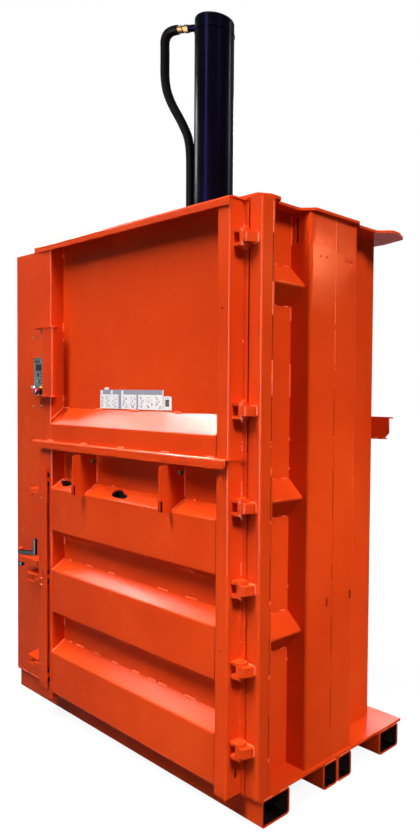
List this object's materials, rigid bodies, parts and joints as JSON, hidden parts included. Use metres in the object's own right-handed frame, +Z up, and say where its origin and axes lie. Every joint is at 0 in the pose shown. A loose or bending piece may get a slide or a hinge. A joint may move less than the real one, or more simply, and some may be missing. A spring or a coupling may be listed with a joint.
{
  "type": "recycling baler",
  "caption": "Upright hydraulic baling press with a filling door over a bale door, side cabinet, base beams and a cylinder with hose on top.",
  "frame": {"origin": "on the ground under the middle of the base, on the underside of the rear one of the two middle base beams", "axes": "+Z up; the doors face -Y; +X to the right, towards the hinges, seen from the front"},
  "size_m": [1.9064, 0.9319, 3.188],
  "materials": {
    "orange_paint": "semi-gloss",
    "cylinder_paint": "gloss",
    "bare_steel": "machined",
    "plated_steel": "plated",
    "rod_chrome": "polished",
    "hose_rubber": "satin",
    "panel_grey": "satin",
    "display_glass": "gloss",
    "bezel_black": "satin",
    "stop_yellow": "gloss",
    "stop_red": "gloss",
    "button_green": "gloss",
    "black_plastic": "satin",
    "label_film": "matt",
    "guide_plastic": "matt",
    "tank_paint": "satin"
  },
  "bodies": {
    "frame": {"base_beams": "orange_paint", "floor_plate": "orange_paint", "front_frame": "orange_paint", "side_panels": "orange_paint", "column_channels": "orange_paint", "side_stiffeners": "orange_paint", "rear_panels": "orange_paint", "rear_bracket": "orange_paint", "top_plate": "orange_paint", "cylinder_barrel": "cylinder_paint", "cylinder_cap": "cylinder_paint", "cylinder_gland": "bare_steel", "hose_port": "cylinder_paint", "hose_couplings": "plated_steel", "hose": "hose_rubber", "cabinet_shell": "orange_paint", "cabinet_front": "orange_paint", "cabinet_screws": "plated_steel", "control_panel": "panel_grey", "display": "display_glass", "control_bezels": "bezel_black", "stop_collar": "bezel_black", "stop_plate": "stop_yellow", "oil_tank": "tank_paint", "power_pack": "tank_paint", "electric_box": "tank_paint", "oil_pipes": "plated_steel", "post_hinge_leaves": "orange_paint", "hinge_pins": "orange_paint", "lock_keepers": "orange_paint", "lever_bracket": "orange_paint"},
    "ram": {"piston": "bare_steel", "piston_rod": "rod_chrome", "platen_face": "orange_paint", "platen_beams": "orange_paint", "platen_guides": "guide_plastic"},
    "upper_door": {"upper_door_stiles": "orange_paint", "upper_door_back": "orange_paint", "upper_door_rail": "orange_paint", "upper_door_ledges": "orange_paint", "upper_door_handle": "orange_paint", "handle_stop": "black_plastic", "label_plates": "label_film", "upper_door_hinge_leaves": "orange_paint"},
    "lower_door": {"lower_door_stiles": "orange_paint", "lower_door_back": "orange_paint", "lower_door_caps": "orange_paint", "lower_door_channels": "orange_paint", "strap_brackets": "orange_paint", "strap_bolts": "plated_steel", "lower_door_hinge_leaves": "orange_paint", "lock_hinge": "cylinder_paint"},
    "lock_bar": {"lock_plate": "orange_paint", "lock_tongues": "orange_paint"},
    "lock_lever": {"lock_lever": "black_plastic", "lever_head": "orange_paint"},
    "down_button": {"button_down": "black_plastic"},
    "up_button": {"button_up": "button_green"},
    "stop_button": {"stop_button": "stop_red"},
    "key_switch": {"key_switch": "bare_steel"}
  },
  "joints": [
    {"name": "ram_slide", "type": "slide", "parent": "frame", "child": "ram", "axis": [0, 0, -1], "range_m": [0, 0.85]},
    {"name": "upper_door_hinge", "type": "hinge", "parent": "frame", "child": "upper_door", "pos_m": [0.878, -0.469, 1.76], "axis": [0, 0, 1], "range_deg": [0, 115]},
    {"name": "lower_door_hinge", "type": "hinge", "parent": "frame", "child": "lower_door", "pos_m": [0.878, -0.469, 0.7], "axis": [0, 0, 1], "range_deg": [0, 115]},
    {"name": "lock_bar_hinge", "type": "hinge", "parent": "lower_door", "child": "lock_bar", "pos_m": [-0.457, -0.5095, 0.66], "axis": [0, 0, 1], "range_deg": [0, 75]},
    {"name": "lock_lever_turn", "type": "hinge", "parent": "frame", "child": "lock_lever", "pos_m": [-0.757, -0.498, 0.72], "axis": [0, 0, 1], "range_deg": [-95, 0]},
    {"name": "down_button_press", "type": "slide", "parent": "frame", "child": "down_button", "axis": [0, 1, 0], "range_m": [0, 0.003], "stiffness_N_per_m": 300},
    {"name": "up_button_press", "type": "slide", "parent": "frame", "child": "up_button", "axis": [0, 1, 0], "range_m": [0, 0.003], "stiffness_N_per_m": 300},
    {"name": "stop_button_press", "type": "slide", "parent": "frame", "child": "stop_button", "axis": [0, 1, 0], "range_m": [0, 0.005], "stiffness_N_per_m": 400},
    {"name": "key_turn", "type": "hinge", "parent": "frame", "child": "key_switch", "pos_m": [-0.711, -0.46, 1.546], "axis": [0, -1, 0], "range_deg": [0, 90]}
  ]
}
